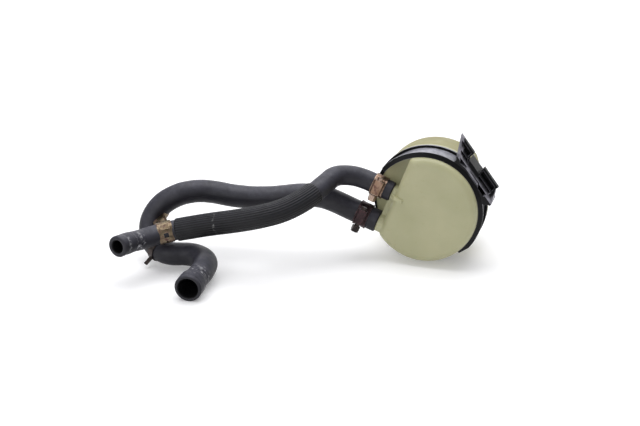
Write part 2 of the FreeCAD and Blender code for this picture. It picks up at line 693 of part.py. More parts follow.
def clamp_screw(frame, hose_r, reach):
    """Worm screw with a slotted hexagon head."""
    centre, along, face, screw = frame
    base = screw_centre(frame, hose_r)
    worm = rod(base, screw, SCREW_R, -HOUSING_LENGTH / 2 - SCREW_TAIL, HOUSING_LENGTH / 2)
    neck = rod(base, screw, SCREW_NECK_R, HOUSING_LENGTH / 4, reach + SCREW_HEAD_L / 4)
    points = [base + screw * reach + (along * cos(i * pi / 3) + face * sin(i * pi / 3))
              * (SCREW_HEAD_AF / sqrt(3)) for i in range(6)]
    head = Part.Face(Part.makePolygon(points + points[:1])).extrude(screw * SCREW_HEAD_L)
    slot = block(base + screw * (reach + SCREW_HEAD_L), along, face, screw,
                 2 * SCREW_HEAD_AF, SCREW_SLOT_W, 2 * SCREW_SLOT_D)
    return fuse(worm, neck, head).cut(slot)


def hose_ring(centre, along, hose_r, width):
    inner = hose_r + CLIP_FIT
    outer = rod(centre, along, inner + CLIP_T, -width / 2, width / 2)
    return outer, rod(centre, along, inner, -width, width)


def at_corner(points, index):
    """Middle of a corner's arc and the route's direction there."""
    start, middle, end = corner_arc(points, index)
    return middle, (end - start).normalize()


def twin_clip(return_points, suction_points):
    """Spring steel strip: a ring on the return hose, a windowed bridge, a saddle under the other hose."""
    front, front_along = at_corner(return_points, corner_near(return_points, CLIP_FRONT_AT))
    run, share = run_near(suction_points, CLIP_REAR_AT)
    rear = on_run(suction_points, (run, share))
    rear_along = (suction_points[run + 1] - suction_points[run]).normalize()
    front_r, rear_r = RETURN_OD / 2, SUCTION_OD / 2
    front_ring, front_bore = hose_ring(front, front_along, front_r, CLIP_FRONT_W)
    rear_ring, rear_bore = hose_ring(rear, rear_along, rear_r, CLIP_REAR_W)
    span = rear - front
    way = Vector(span).normalize()
    wide = (front_along + rear_along).normalize()
    wide = (wide - way * wide.dot(way)).normalize()
    normal = way.cross(wide)
    normal = normal * (1 if normal.z > 0 else -1)
    over = block(rear + normal * (2 * rear_r + CLIP_T / 2), way, wide, way.cross(wide),
                 4 * rear_r, 4 * rear_r, 4 * rear_r)
    rear_ring = rear_ring.cut(over)
    bridge = block(front + span * 0.5, way, wide, way.cross(wide), span.Length, CLIP_BRIDGE_W, CLIP_T)
    middle = front + way * ((front_r + span.Length - rear_r) / 2)
    window = block(middle, way, wide, way.cross(wide), CLIP_WINDOW_L, CLIP_WINDOW_W, 4 * CLIP_T)
    face = (front_along.cross(Z_AXIS)).normalize()
    if face.y > 0:
        face = face * -1
    tab_up = face.cross(front_along)
    tab_up = tab_up * (1 if tab_up.z > 0 else -1)
    crown = (face + tab_up * 1.2).normalize()
    tab = block(front + crown * (front_r + CLIP_FIT + CLIP_T * 1.4), front_along,
                crown.cross(front_along), crown, CLIP_FRONT_W * 0.6, CLIP_TAB_W, CLIP_T * 2)
    outward_way = (face + tab_up * 0.1).normalize()
    opening = block(front + outward_way * front_r, front_along, outward_way.cross(front_along),
                    outward_way, CLIP_SQUARE, CLIP_SQUARE, front_r)
    hole = rod(front, (face - tab_up * 0.7).normalize(), CLIP_HOLE_R, 0, 2 * front_r)
    solid = fuse(front_ring, rear_ring, bridge, tab)
    for cutter in (front_bore, rear_bore, window, opening, hole):
        solid = solid.cut(cutter)
    return solid


def elbow_clip(points):
    """Narrow ring on the suction hose's elbow, with one ear that points down."""
    run, share = run_near(points, ELBOW_CLIP_AT)
    centre = on_run(points, (run, share))
    along = (points[run + 1] - points[run]).normalize()
    body, bore = hose_ring(centre, along, SUCTION_OD / 2, ELBOW_CLIP_W)
    side = (along.cross(Z_AXIS)).normalize()
    side = side * (1 if side.y < 0 else -1)
    down = side.cross(along)
    down = down * (1 if down.z < 0 else -1)
    way = (side * 1.3 + down).normalize()
    ear = block(centre + way * (SUCTION_OD / 2 + EAR_L / 2), way, along, way.cross(along),
                EAR_L, EAR_W, CLIP_T)
    return fuse(body, ear).cut(bore)


def tank_pieces():
    """All pieces drawn in the tank frame."""
    return_r, suction_r = RETURN_OD / 2, SUCTION_OD / 2
    upper = clamp_frame(RETURN_OFFSET, RETURN_START, RETURN_CLAMP_AT)
    lower = clamp_frame(SUCTION_OFFSET, SUCTION_START, SUCTION_CLAMP_AT)
    fixed = {
        "lower_shell": lower_shell(),
        "upper_shell": upper_shell(),
        "strainer_frame": strainer_frame(),
        "strainer_mesh": strainer_mesh(),
        "filler_cap": filler_cap(),
        "cap_seal": cap_seal(),
        "dipstick": dipstick(),
        "mounting_band": mounting_band(),
    }
    clamps = {
        "return_clamp_band": clamp_band(upper, return_r),
        "return_clamp_housing": clamp_housing(upper, return_r),
        "return_clamp_screw": clamp_screw(upper, return_r, RETURN_SCREW_REACH),
        "suction_clamp_band": clamp_band(lower, suction_r),
        "suction_clamp_housing": clamp_housing(lower, suction_r),
        "suction_clamp_screw": clamp_screw(lower, suction_r, SUCTION_SCREW_REACH),
    }
    return fixed, clamps


def hose_pieces():
    """All pieces drawn in the laid frame."""
    returning = hose_route(RETURN_OFFSET, RETURN_START, RETURN_BENDS)
    suction = hose_route(SUCTION_OFFSET, SUCTION_START, SUCTION_BENDS)
    report_route("return", returning)
    report_route("suction", suction)
    sleeve_inner = RETURN_OD / 2 + SLEEVE_FIT
    sleeve_path = route_wire(returning, run_near(returning, SLEEVE_START), run_near(returning, SLEEVE_END))
    return {
        "return_hose": hose(returning, RETURN_OD, RETURN_ID),
        "suction_hose": belled_hose(suction, SUCTION_OD, SUCTION_ID),
        "ribbed_sleeve": tube(sleeve_path, sleeve_inner + SLEEVE_T, sleeve_inner),
        "twin_clip": twin_clip(returning, suction),
        "elbow_clip": elbow_clip(suction),
    }


def report_route(name, points):
    wire = route_wire(points, *ends_of(points))
    radii = [round(corner_radius(points, i)[0], 1) for i in range(1, len(points) - 1)]
    print(name, "hose", round(wire.Length, 1), "mm long, arc radii", radii)


def place_in_row(fixed, others):
    """Set the origin under the middle of the tank's own box, on the floor."""
    box = Part.makeCompound(list(fixed.values())).BoundBox
    shift = Vector(-box.Center.x, -box.Center.y, -box.ZMin)
    pieces = dict(fixed)
    pieces.update(others)
    for shape in pieces.values():
        shape.translate(shift)
    print("row origin shift", [round(value, 3) for value in shift])
    return pieces


def main():
    os.makedirs("parts", exist_ok=True)
    fixed, clamps = tank_pieces()
    for shape in list(fixed.values()) + list(clamps.values()):
        shape.Placement = LAID.multiply(shape.Placement)
    clamps.update(hose_pieces())
    for name, shape in place_in_row(fixed, clamps).items():
        shape.exportStep("parts/" + name + ".step")
        print(name, len(shape.Solids), "solid", round(shape.Volume / 1000, 2), "cm3", shape.isValid())


main()
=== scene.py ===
import bpy
import math
from mathutils import Matrix, Vector


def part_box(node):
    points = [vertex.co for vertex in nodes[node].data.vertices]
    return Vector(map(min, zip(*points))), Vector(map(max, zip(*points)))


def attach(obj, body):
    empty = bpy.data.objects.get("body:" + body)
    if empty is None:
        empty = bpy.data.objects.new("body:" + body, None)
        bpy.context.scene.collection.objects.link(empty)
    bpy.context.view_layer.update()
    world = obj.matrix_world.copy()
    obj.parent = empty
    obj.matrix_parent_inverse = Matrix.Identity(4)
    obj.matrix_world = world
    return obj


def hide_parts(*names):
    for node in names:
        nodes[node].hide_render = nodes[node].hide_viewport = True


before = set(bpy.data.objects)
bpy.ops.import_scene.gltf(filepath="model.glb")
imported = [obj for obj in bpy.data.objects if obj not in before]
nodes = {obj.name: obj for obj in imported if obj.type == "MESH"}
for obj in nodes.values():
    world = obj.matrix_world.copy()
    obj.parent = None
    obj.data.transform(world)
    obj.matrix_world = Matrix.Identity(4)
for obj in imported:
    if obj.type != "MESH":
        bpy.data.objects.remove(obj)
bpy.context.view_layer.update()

MM = 0.001

# The tank frame: +Z along the tank's axis towards the cap, 0 at the sump's flat bottom.
# The tank lies on its band's flange and on its shoulder, each given by its place along the axis
# and its radius, in mm.
FLANGE_AT, FLANGE_R = 36.0, 56.5
SHOULDER_AT, SHOULDER_R = 69.0, 55.3
TILT = math.atan2(FLANGE_R - SHOULDER_R, SHOULDER_AT - FLANGE_AT)
AXIS_HEIGHT = FLANGE_AT * math.sin(TILT) + FLANGE_R * math.cos(TILT)
MESH_MIDDLE = 39.7  # place of the strainer mesh's middle along the axis
AXIS = Vector((0, math.cos(TILT), -math.sin(TILT)))
UPWARD = Vector((0, math.sin(TILT), math.cos(TILT)))


def find_shift():
    """How far the row's origin lies from the point under the sump's bottom."""
    low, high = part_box("strainer_mesh")
    middle = Vector((0, 0, AXIS_HEIGHT)) + AXIS * MESH_MIDDLE
    return (low + high) / 2 - middle * MM


SHIFT = find_shift()
LAID = (Matrix.Translation(SHIFT + Vector((0, 0, AXIS_HEIGHT * MM)))
        @ Matrix.Rotation(-math.pi / 2 - TILT, 4, "X"))


def row(point):
    """Row-frame place, in metres, of a point given in mm from under the sump's bottom."""
    return Vector(point) * MM + SHIFT


def tank(x, y, z):
    """Row-frame place of a point given in mm in the tank frame."""
    return LAID @ (Vector((x, y, z)) * MM)


# ---- camera
def make_camera():
    data = bpy.data.cameras.new("camera")
    camera = bpy.data.objects.new("camera", data)
    bpy.context.scene.collection.objects.link(camera)
    camera.location = row((194.0, -912.2, 431.4))
    camera.rotation_euler = (math.radians(68), 0, math.radians(18))
    data.sensor_width = 36.0
    data.sensor_fit = "HORIZONTAL"
    data.lens = 59.06
    data.clip_end = 20.0
    bpy.context.scene.camera = camera


make_camera()

# ---- hose routes
SPIGOT_ANGLE = math.radians(160)
SPIGOT_AT = 12.0  # place of both spigots along the tank's axis
SPIGOT_RUN = 11.7  # straight length of a hose on its spigot
OUT = Vector((math.cos(SPIGOT_ANGLE), 0, 0)) + UPWARD * math.sin(SPIGOT_ANGLE)
SIDE = Vector((math.sin(SPIGOT_ANGLE), 0, 0)) - UPWARD * math.cos(SPIGOT_ANGLE)
SPACING = 0.9  # between the rings of points along a hose


def hose_start(start, offset):
    """The end face's centre on its spigot, and the next route point, in mm."""
    first = Vector((0, 0, AXIS_HEIGHT)) + AXIS * SPIGOT_AT + OUT * start + SIDE * offset
    return [first, first + OUT * SPIGOT_RUN]


RETURN_ROUTE = hose_start(35.0, 0.5) + [
    (-66, 12.5, 82.3), (-86, -2, 87), (-91.5, -24, 82.3), (-102.5, -44, 74.5), (-120, -57.5, 65.7),
    (-141, -66.5, 60.3), (-164, -71, 55), (-186, -72, 50), (-209, -74, 44), (-232, -80, 39),
    (-246, -98, 37), (-253, -120, 41), (-255, -132, 42),
]
SUCTION_ROUTE = hose_start(36.5, -34.0) + [
    (-79, 11, 50), (-97, 0, 62), (-119, -9, 65), (-141, -14, 61), (-164, -18, 59),
    (-188, -21, 60), (-211, -25, 64), (-231, -36, 64), (-251, -46, 54), (-261, -55, 36),
    (-254, -67, 19), (-234, -75, 13), (-212, -65.5, 13), (-190, -76.5, 13),
    (-185, -103, 13), (-184.5, -126, 13), (-183.2, -138, 13),
]


def route_points(name, points, steps=16):
    """Points along the route's own NURBS spline, in the row frame."""
    curve = bpy.data.curves.new(name, "CURVE")
    curve.dimensions = "3D"
    curve.resolution_u = steps
    spline = curve.splines.new("NURBS")
    spline.points.add(len(points) - 1)
    for knot, point in zip(spline.points, points):
        knot.co = (*row(point), 1.0)
    spline.order_u = 3
    spline.use_endpoint_u = True
    holder = bpy.data.objects.new(name, curve)
    line = bpy.data.meshes.new_from_object(holder)
    path = [v.co.copy() for v in line.vertices]
    bpy.data.objects.remove(holder)
    bpy.data.curves.remove(curve)
    bpy.data.meshes.remove(line)
    return path


def carried_frames(path):
    """A side and an up for each point, turned as little as possible along the path."""
    last = len(path) - 1
    ways = [(path[min(i + 1, last)] - path[max(i - 1, 0)]).normalized() for i in range(last + 1)]
    up = (Vector((0, 0, 1)) - ways[0] * ways[0].z).normalized()
    frames = []
    for way in ways:
        up = (up - way * up.dot(way)).normalized()
        frames.append((way.cross(up), up))
    return frames


def distances(path):
    """Distance along the path at each of its points, in mm."""
    total, out = 0.0, [0.0]
    for a, b in zip(path, path[1:]):
        total += (b - a).length / MM
        out.append(total)
    return out


def resample(path, spacing):
    """The same path at even spacing, in mm."""
    along = distances(path)
    count = max(2, round(along[-1] / spacing))
    out, k = [], 0
    for i in range(count + 1):
        target = along[-1] * i / count
        while k < len(along) - 2 and along[k + 1] < target:
            k += 1
        share = (target - along[k]) / (along[k + 1] - along[k])
        out.append(path[k].lerp(path[k + 1], min(max(share, 0.0), 1.0)))
    return out


# ---- meshes
def new_piece(name, verts, faces, material, smooth=True):
    mesh = bpy.data.meshes.new(name)
    mesh.from_pydata([tuple(v) for v in verts], [], faces)
    mesh.materials.append(material)
    if smooth:
        mesh.polygons.foreach_set("use_smooth", [True] * len(mesh.polygons))
    mesh.update()
    obj = bpy.data.objects.new(name, mesh)
    bpy.context.scene.collection.objects.link(obj)
    return obj


def sweep(name, path, section, around, material, inner):
    """Hollow tube along a path, with radii in mm: section(s, angle, total) is the outer one and
    inner(s, total) the bore's.

    The points carry their distance from the tube's start, in metres, as the attribute "along"."""
    frames, along = carried_frames(path), distances(path)
    total, last = along[-1], len(path) - 1
    angles = [2 * math.pi * k / around for k in range(around)]
    rings = [(i, [section(along[i], angle, total) for angle in angles]) for i in range(last + 1)]
    rings += [(i, [inner(along[i], total)] * around) for i in range(last, -1, -1)]
    verts, reached = [], []
    for i, radii in rings:
        side, up = frames[i]
        for angle, r in zip(angles, radii):
            verts.append(path[i] + (side * math.cos(angle) + up * math.sin(angle)) * r * MM)
        reached += [along[i] * MM] * around
    faces, inside = [], []
    for j in range(len(rings)):
        a, b = j * around, (j + 1) % len(rings) * around
        for k in range(around):
            n = (k + 1) % around
            faces.append((a + k, a + n, b + n, b + k))
            inside.append(int(last < j < len(rings) - 1))
    obj = new_piece(name, verts, faces, material)
    obj.data.materials.append(BORE_LOOK)
    obj.data.polygons.foreach_set("material_index", inside)
    obj.data.attributes.new("along", "FLOAT", "POINT").data.foreach_set("value", reached)
    return obj


# ---- shader nodes
def principled(name, color, roughness, **settings):
    material = bpy.data.materials.new(name)
    material.use_nodes = True
    node = material.node_tree.nodes["Principled BSDF"]
    node.inputs["Base Color"].default_value = (*color, 1)
    node.inputs["Roughness"].default_value = roughness
    for key, value in settings.items():
        node.inputs[key.replace("_", " ")].default_value = value
    return material, material.node_tree, node


def srgb(*levels):
    """Linear colour of an 8-bit display colour."""
    out = []
    for level in levels:
        c = level / 255
        out.append(c / 12.92 if c <= 0.04045 else ((c + 0.055) / 1.055) ** 2.4)
    return tuple(out)


def grey(value):
    return (value, value, value)


def add(tree, kind, **settings):
    node = tree.nodes.new(kind)
    for key, value in settings.items():
        setattr(node, key, value)
    return node


def surface(tree, output):
    """A reading of the shaded point, such as its Position or Normal."""
    return add(tree, "ShaderNodeNewGeometry").outputs[output]


def noise(tree, scale, detail=4.0, roughness=0.55, stretch=None):
    texture = add(tree, "ShaderNodeTexNoise")
    texture.inputs["Scale"].default_value = scale
    texture.inputs["Detail"].default_value = detail
    texture.inputs["Roughness"].default_value = roughness
    source = add(tree, "ShaderNodeTexCoord").outputs["Object"]
    if stretch:
        mapping = add(tree, "ShaderNodeMapping")
        mapping.inputs["Scale"].default_value = stretch
        tree.links.new(source, mapping.inputs["Vector"])
        source = mapping.outputs["Vector"]
    tree.links.new(source, texture.inputs["Vector"])
    return texture.outputs["Fac"]


def ramp(tree, source, stops):
    node = add(tree, "ShaderNodeValToRGB")
    elements = node.color_ramp.elements
    while len(elements) < len(stops):
        elements.new(0.5)
    for element, (position, color) in zip(elements, stops):
        element.position = position
        element.color = (*color, 1)
    tree.links.new(source, node.inputs["Fac"])
    return node.outputs["Color"]


def patches(tree, scale, low, high, least=0.0, most=1.0, detail=5.0, roughness=0.7):
    """Noise that is least below the low stop and most above the high one."""
    return ramp(tree, noise(tree, scale, detail, roughness), [(low, grey(least)), (high, grey(most))])


def span(tree, source, low, high, bottom=0.0, top=1.0, **settings):
    """bottom to top as the source goes from low to high."""
    node = add(tree, "ShaderNodeMapRange", **settings)
    for socket, value in (("From Min", low), ("From Max", high), ("To Min", bottom), ("To Max", top)):
        node.inputs[socket].default_value = value
    tree.links.new(source, node.inputs["Value"])
    return node.outputs[0]


def joined(tree, operation, *sources):
    """The sources put together in pairs by one kind of Math node."""
    result = sources[0]
    for source in sources[1:]:
        node = add(tree, "ShaderNodeMath", operation=operation)
        tree.links.new(result, node.inputs[0])
        tree.links.new(source, node.inputs[1])
        result = node.outputs[0]
    return result


def reading(tree, source, direction, low, high, top=1.0):
    """0 to top as the source vector's share along a direction goes from low to high."""
    along = add(tree, "ShaderNodeVectorMath", operation="DOT_PRODUCT")
    along.inputs[1].default_value = direction
    tree.links.new(source, along.inputs[0])
    return span(tree, along.outputs["Value"], low, high, top=top)


def bump(tree, shader, source, strength, distance):
    node = add(tree, "ShaderNodeBump")
    node.inputs["Strength"].default_value = strength
    node.inputs["Distance"].default_value = distance
    tree.links.new(source, node.inputs["Height"])
    tree.links.new(node.outputs["Normal"], shader.inputs["Normal"])


def mix(tree, share, a, b):
    node = add(tree, "ShaderNodeMix", data_type="RGBA")
    for socket, value in (("A", a), ("B", b)):
        target = [s for s in node.inputs if s.name == socket and s.type == "RGBA"][0]
        if isinstance(value, tuple):
            target.default_value = (*value, 1)
        else:
            tree.links.new(value, target)
    tree.links.new(share, node.inputs[0])
    return [s for s in node.outputs if s.type == "RGBA"][0]


# ---- wear and painted light
def painted_top_light(tree, start, strength):
    """Share of a painted highlight on faces turned up, broken by noise."""
    share = reading(tree, surface(tree, "Normal"), (0, 0, 1), start, 1.0, strength)
    return joined(tree, "MULTIPLY", share, patches(tree, 130.0, 0.3, 0.7, 0.4))


def edge_wear_and_highlight(tree, radius, strength):
    """Share of a colour along sharp edges, broken by noise: painted highlight on the black band, wear on
    the metal.
    """
    rounded = add(tree, "ShaderNodeBevel", samples=4)
    rounded.inputs["Radius"].default_value = radius
    match = add(tree, "ShaderNodeVectorMath", operation="DOT_PRODUCT")
    tree.links.new(rounded.outputs[0], match.inputs[0])
    tree.links.new(surface(tree, "Normal"), match.inputs[1])
    share = span(tree, match.outputs["Value"], 0.995, 0.90, top=strength)
    return joined(tree, "MULTIPLY", share, patches(tree, 90.0, 0.35, 0.65, 0.3))


# The bracket's own directions in the row frame, and the middle that its distances are from, in mm.
BRACKET_ANGLE = math.radians(38.0)
BRACKET_OUT = (math.cos(BRACKET_ANGLE), 0, math.sin(BRACKET_ANGLE))
BRACKET_ACROSS = (math.sin(BRACKET_ANGLE), 0, -math.cos(BRACKET_ANGLE))
BRACKET_SLANT = tuple(a + 1.5 * b for a, b in zip(BRACKET_ACROSS, BRACKET_OUT))
BRACKET_MIDDLE = (0, 0, 30.0)
BASE_FROM, BASE_TO = 50, 70


def bracket_lit_facets(tree, strength):
    """Share of a painted highlight on the bracket's base, its tall outer wall and its toe."""
    off = add(tree, "ShaderNodeVectorMath", operation="SUBTRACT")
    off.inputs[1].default_value = tuple(tank(*BRACKET_MIDDLE))
    tree.links.new(surface(tree, "Position"), off.inputs[0])

    def step(direction, low, high):
        return reading(tree, off.outputs[0], direction, low * MM, high * MM)

    base = ramp(tree, step(BRACKET_OUT, BASE_FROM, BASE_TO),
                [(0.315, grey(0)), (0.345, grey(1)), (0.43, grey(1)), (0.52, grey(0))])
    wall = joined(tree, "MULTIPLY", step(BRACKET_SLANT, 67.5, 66.5), step(BRACKET_OUT, 56.5, 57.5))
    toe = joined(tree, "MULTIPLY", step(BRACKET_ACROSS, 22, 23), step(BRACKET_OUT, 58.5, 57.5))
    end = joined(tree, "MULTIPLY", step(BRACKET_ACROSS, 23, 25), step(BRACKET_OUT, 66.5, 65.5))
    # The highlight is painted only on faces turned up and to the right, and, low down, on faces not turned
    # to the front.
    normal = surface(tree, "Normal")
    facing = reading(tree, normal, (0.76, -0.25, 0.60), 0.3, 0.85, strength)
    not_front = reading(tree, normal, (0, 1, 0), -0.8, -0.5, strength)
    upper = joined(tree, "MULTIPLY", joined(tree, "MAXIMUM", base, wall), facing)
    lower = joined(tree, "MULTIPLY", joined(tree, "MAXIMUM", toe, end), step(BRACKET_OUT, 50, 51),
                   not_front)
    return joined(tree, "MULTIPLY", joined(tree, "MAXIMUM", upper, lower),
                  patches(tree, 170.0, 0.4, 0.6, 0.5))


# ---- materials
EDGE_R, METAL_EDGE_R = 0.7 * MM, 0.5 * MM  # how far the edge marks reach from an edge: painted highlight on the black band, wear on the metal
BUMP_HEIGHT = 0.2 * MM
# The tank plastic's painted glow, which lifts its shadows.
PAINTED_GLOW = 0.16  # of the tank plastic's own colour
SCATTER = (6 * MM, 5 * MM, 3 * MM)  # how far light travels in the tank plastic, by colour


def set_roughness(tree, shader, scale, detail, roughness):
    rough = patches(tree, scale, 0.3, 0.7, *roughness, detail=detail, roughness=0.55)
    tree.links.new(rough, shader.inputs["Roughness"])


def plastic(name, light, dark, stain, grain=0.15, roughness=(0.34, 0.5), subsurface=0.0, shine=0.5,
            top_highlight=None, edges=None, facet_highlight=None):
    """Moulded plastic. Its three optional marks, each a colour and the strength of its marks, are painted
    highlights: on faces turned up, along sharp edges and on the bracket's lit facets.
    """
    material, tree, shader = principled(name, light, 0.4, Specular_IOR_Level=shine)
    base = ramp(tree, noise(tree, 22.0, 3.0), [(0.35, dark), (0.68, light)])
    shade = mix(tree, patches(tree, 150.0, 0.60, 0.78, most=0.5, detail=6.0), base, stain)
    # Painted highlight on faces turned up.
    if top_highlight:
        shade = mix(tree, painted_top_light(tree, 0.7, top_highlight[1]), shade, top_highlight[0])
    # Painted highlight along sharp edges.
    if edges:
        shade = mix(tree, edge_wear_and_highlight(tree, EDGE_R, edges[1]), shade, edges[0])
    # Painted highlight on the bracket's facets that face the light.
    if facet_highlight:
        shade = mix(tree, bracket_lit_facets(tree, facet_highlight[1]), shade, facet_highlight[0])
    tree.links.new(shade, shader.inputs["Base Color"])
    set_roughness(tree, shader, 60.0, 5.0, roughness)
    bump(tree, shader, noise(tree, 1400.0, 2.0), grain, BUMP_HEIGHT)
    if subsurface:
        shader.inputs["Subsurface Weight"].default_value = subsurface
        shader.inputs["Subsurface Radius"].default_value = SCATTER
        shader.inputs["Subsurface Scale"].default_value = 1.0
        # Painted light: the plastic glows in its own colour, which lifts its shadows in place of light
        # through the thin wall.
        tree.links.new(shade, shader.inputs["Emission Color"])
        shader.inputs["Emission Strength"].default_value = PAINTED_GLOW
    return material


def rubber(name, color, scuff, marks, shine=0.4, roughness=(0.42, 0.62), highlight_share=0.42):
    """Rubber with fine grain and pale scuff rings at (place, width, strength) along it, in mm."""
    material, tree, shader = principled(name, color, 0.55, Specular_IOR_Level=shine)
    dark, light = tuple(c * 0.8 for c in color), tuple(c * 1.2 for c in color)
    base = ramp(tree, noise(tree, 45.0, 5.0), [(0.35, dark), (0.7, light)])
    # Painted highlight: a paler blue-grey on faces turned up, broken by noise.
    shade = mix(tree, painted_top_light(tree, 0.1, highlight_share), base, srgb(112, 112, 126))
    along = add(tree, "ShaderNodeAttribute", attribute_name="along")
    for place, width, strength in marks:
        off = add(tree, "ShaderNodeMath", operation="SUBTRACT")
        off.inputs[1].default_value = place * MM
        tree.links.new(along.outputs["Fac"], off.inputs[0])
        size = add(tree, "ShaderNodeMath", operation="ABSOLUTE")
        tree.links.new(off.outputs[0], size.inputs[0])
        band = span(tree, size.outputs[0], width * MM, 0.0, top=strength)
        patch = patches(tree, 210.0, 0.50, 0.62, detail=6.0, roughness=0.75)
        shade = mix(tree, joined(tree, "MULTIPLY", band, patch), shade, scuff)
    tree.links.new(shade, shader.inputs["Base Color"])
    set_roughness(tree, shader, 80.0, 4.0, roughness)
    bump(tree, shader, noise(tree, 2200.0, 3.0), 0.25, BUMP_HEIGHT)
    return material


def metal(name, light, dark, rust, rust_from=0.55, roughness=(0.28, 0.5), edge=None):
    """Steel with rust where its noise is above rust_from, and worn edges in a colour of their own."""
    material, tree, shader = principled(name, light, 0.35, Metallic=1.0)
    base = ramp(tree, noise(tree, 120.0, 4.0), [(0.35, dark), (0.65, light)])
    patch = patches(tree, 240.0, rust_from, rust_from + 0.12, detail=6.0)
    shade = mix(tree, patch, base, rust)
    if edge:
        shade = mix(tree, edge_wear_and_highlight(tree, METAL_EDGE_R, 0.8), shade, edge)
    tree.links.new(shade, shader.inputs["Base Color"])
    rough = ramp(tree, patch, [(0.0, grey(roughness[0])), (1.0, grey(roughness[1] + 0.25))])
    tree.links.new(rough, shader.inputs["Roughness"])
    metalness = ramp(tree, patch, [(0.0, grey(1.0)), (1.0, grey(0.25))])
    tree.links.new(metalness, shader.inputs["Metallic"])
    bump(tree, shader, noise(tree, 900.0, 4.0, 0.6, (1, 1, 0.2)), 0.2, BUMP_HEIGHT)
    return material


BLACKS = (srgb(15, 15, 17), srgb(9, 9, 11), srgb(26, 26, 28))
BLACK_SHINE = dict(grain=0.2, roughness=(0.26, 0.42), shine=0.16)

TANK_LOOK = plastic("tank_plastic", srgb(166, 164, 131), srgb(156, 155, 121), srgb(142, 139, 99),
                    subsurface=0.15)
# The upper shell is the same plastic as the lower one, given a darker, yellower copy of its colour: painted
# shade against the strong light on its top.
TOP_SHADED_LOOK = plastic("tank_top_plastic", srgb(131, 126, 74), srgb(119, 113, 62), srgb(111, 103, 52),
                   subsurface=0.15)
BORE_LOOK = plastic("bore_rubber", srgb(22, 22, 24), srgb(15, 15, 17), srgb(34, 34, 38),
                    0.3, (0.5, 0.7), shine=0.2)
STRAINER_LOOK = plastic("strainer_plastic", srgb(215, 212, 190), srgb(200, 198, 170), srgb(180, 175, 140))
BLACK_LOOK = plastic("black_plastic", *BLACKS, **BLACK_SHINE)
# The band's pale marks are painted highlights on its top faces, its edges and the bracket's facets.
BAND_LOOK = plastic("band_plastic", *BLACKS, **BLACK_SHINE, top_highlight=(srgb(190, 190, 202), 0.85),
                    edges=(srgb(130, 128, 138), 0.5), facet_highlight=(srgb(168, 166, 176), 0.75))
SEAL_LOOK = plastic("seal_rubber", srgb(26, 26, 27), srgb(18, 18, 19), srgb(40, 40, 40), 0.3, (0.5, 0.7))
CLIP_LOOK = metal("clip_steel", srgb(150, 136, 112), srgb(102, 88, 70), srgb(96, 66, 60),
                  0.5, (0.30, 0.5), srgb(214, 196, 172))
CLAMP_LOOK = metal("clamp_steel", srgb(156, 131, 113), srgb(118, 94, 78), srgb(104, 72, 60),
                   0.52, (0.34, 0.5), srgb(224, 206, 190))
RUSTY_LOOK = metal("clamp_rusty_steel", srgb(76, 57, 60), srgb(48, 36, 39), srgb(46, 30, 32),
                   0.45, edge=srgb(138, 112, 114))
DARK_LOOK = metal("dark_steel", srgb(74, 68, 66), srgb(44, 40, 40), srgb(60, 46, 42), 0.5)
SCREW_LOOK = metal("screw_steel", srgb(170, 150, 136), srgb(120, 100, 90), srgb(104, 66, 50), 0.55)

NODE_LOOKS = {
    "lower_shell": TANK_LOOK, "upper_shell": TOP_SHADED_LOOK, "strainer_frame": STRAINER_LOOK,
    "strainer_mesh": STRAINER_LOOK, "filler_cap": BLACK_LOOK, "cap_seal": SEAL_LOOK,
    "dipstick": BLACK_LOOK, "mounting_band": BAND_LOOK, "twin_clip": CLIP_LOOK,
    "elbow_clip": DARK_LOOK, "return_clamp_band": CLAMP_LOOK, "return_clamp_housing": CLAMP_LOOK,
    "return_clamp_screw": SCREW_LOOK, "suction_clamp_band": RUSTY_LOOK,
    "suction_clamp_housing": RUSTY_LOOK, "suction_clamp_screw": DARK_LOOK,
}
for node_name, look in NODE_LOOKS.items():
    materials = nodes[node_name].data.materials
    materials.clear()
    materials.append(look)

# ---- hoses, their radii in mm
RETURN_R, RETURN_BORE_R = 9.75, 6.0
SUCTION_R, SUCTION_BORE_R = 11.25, 7.75
RETURN_GROWTH = 0.35  # of the return hose's radius at its open end
BELL_R, BELL_BORE_R = 12.8, 9.5  # of the suction hose's open end
WIDE_LENGTH, WIDE_TAPER = 12.5, 10.0  # of either open end's wider part and the change to it
AROUND = 64  # points round a hose
LIP_R, BORE_CHAMFER = 0.9, 0.6


def lip(s, total, radius, edge):
    """Radius with a small round at both ends."""
    d = min(s, total - s)
    if d >= edge:
        return radius
    return radius - edge + math.sqrt(max(edge ** 2 - (edge - d) ** 2, 0))


def widened(s, total, narrow, wide):
    """Radius that grows from narrow to wide at the hose's open end."""
    share = (WIDE_LENGTH + WIDE_TAPER - (total - s)) / WIDE_TAPER
    share = min(1.0, max(0.0, share))
    return narrow + (wide - narrow) * share * share * (3 - 2 * share)


def hose_section(radius, end_radius, rings):
    """Outer radius with a wider open end, slight unevenness and rings pressed in by old clamps.

    A ring is its distance from the open end, its depth and its width, in mm."""
    def outer(s, angle, total):
        r = widened(s, total, radius, end_radius)
        r += 0.06 * math.sin(s * 0.31 + 2 * math.sin(angle)) + 0.05 * math.sin(3 * angle + s * 0.05)
        for place, depth, width in rings:
            r -= depth * math.exp(-((total - s - place) / width) ** 2)
        return lip(s, total, r, LIP_R)
    return outer


def hose_inner(radius, end_radius):
    def inner(s, total):
        return widened(s, total, radius, end_radius) + max(0.0, BORE_CHAMFER - min(s, total - s))
    return inner


return_path = resample(route_points("return_route", RETURN_ROUTE), SPACING)
suction_path = resample(route_points("suction_route", SUCTION_ROUTE), SPACING)
return_length = distances(return_path)[-1]
suction_length = distances(suction_path)[-1]

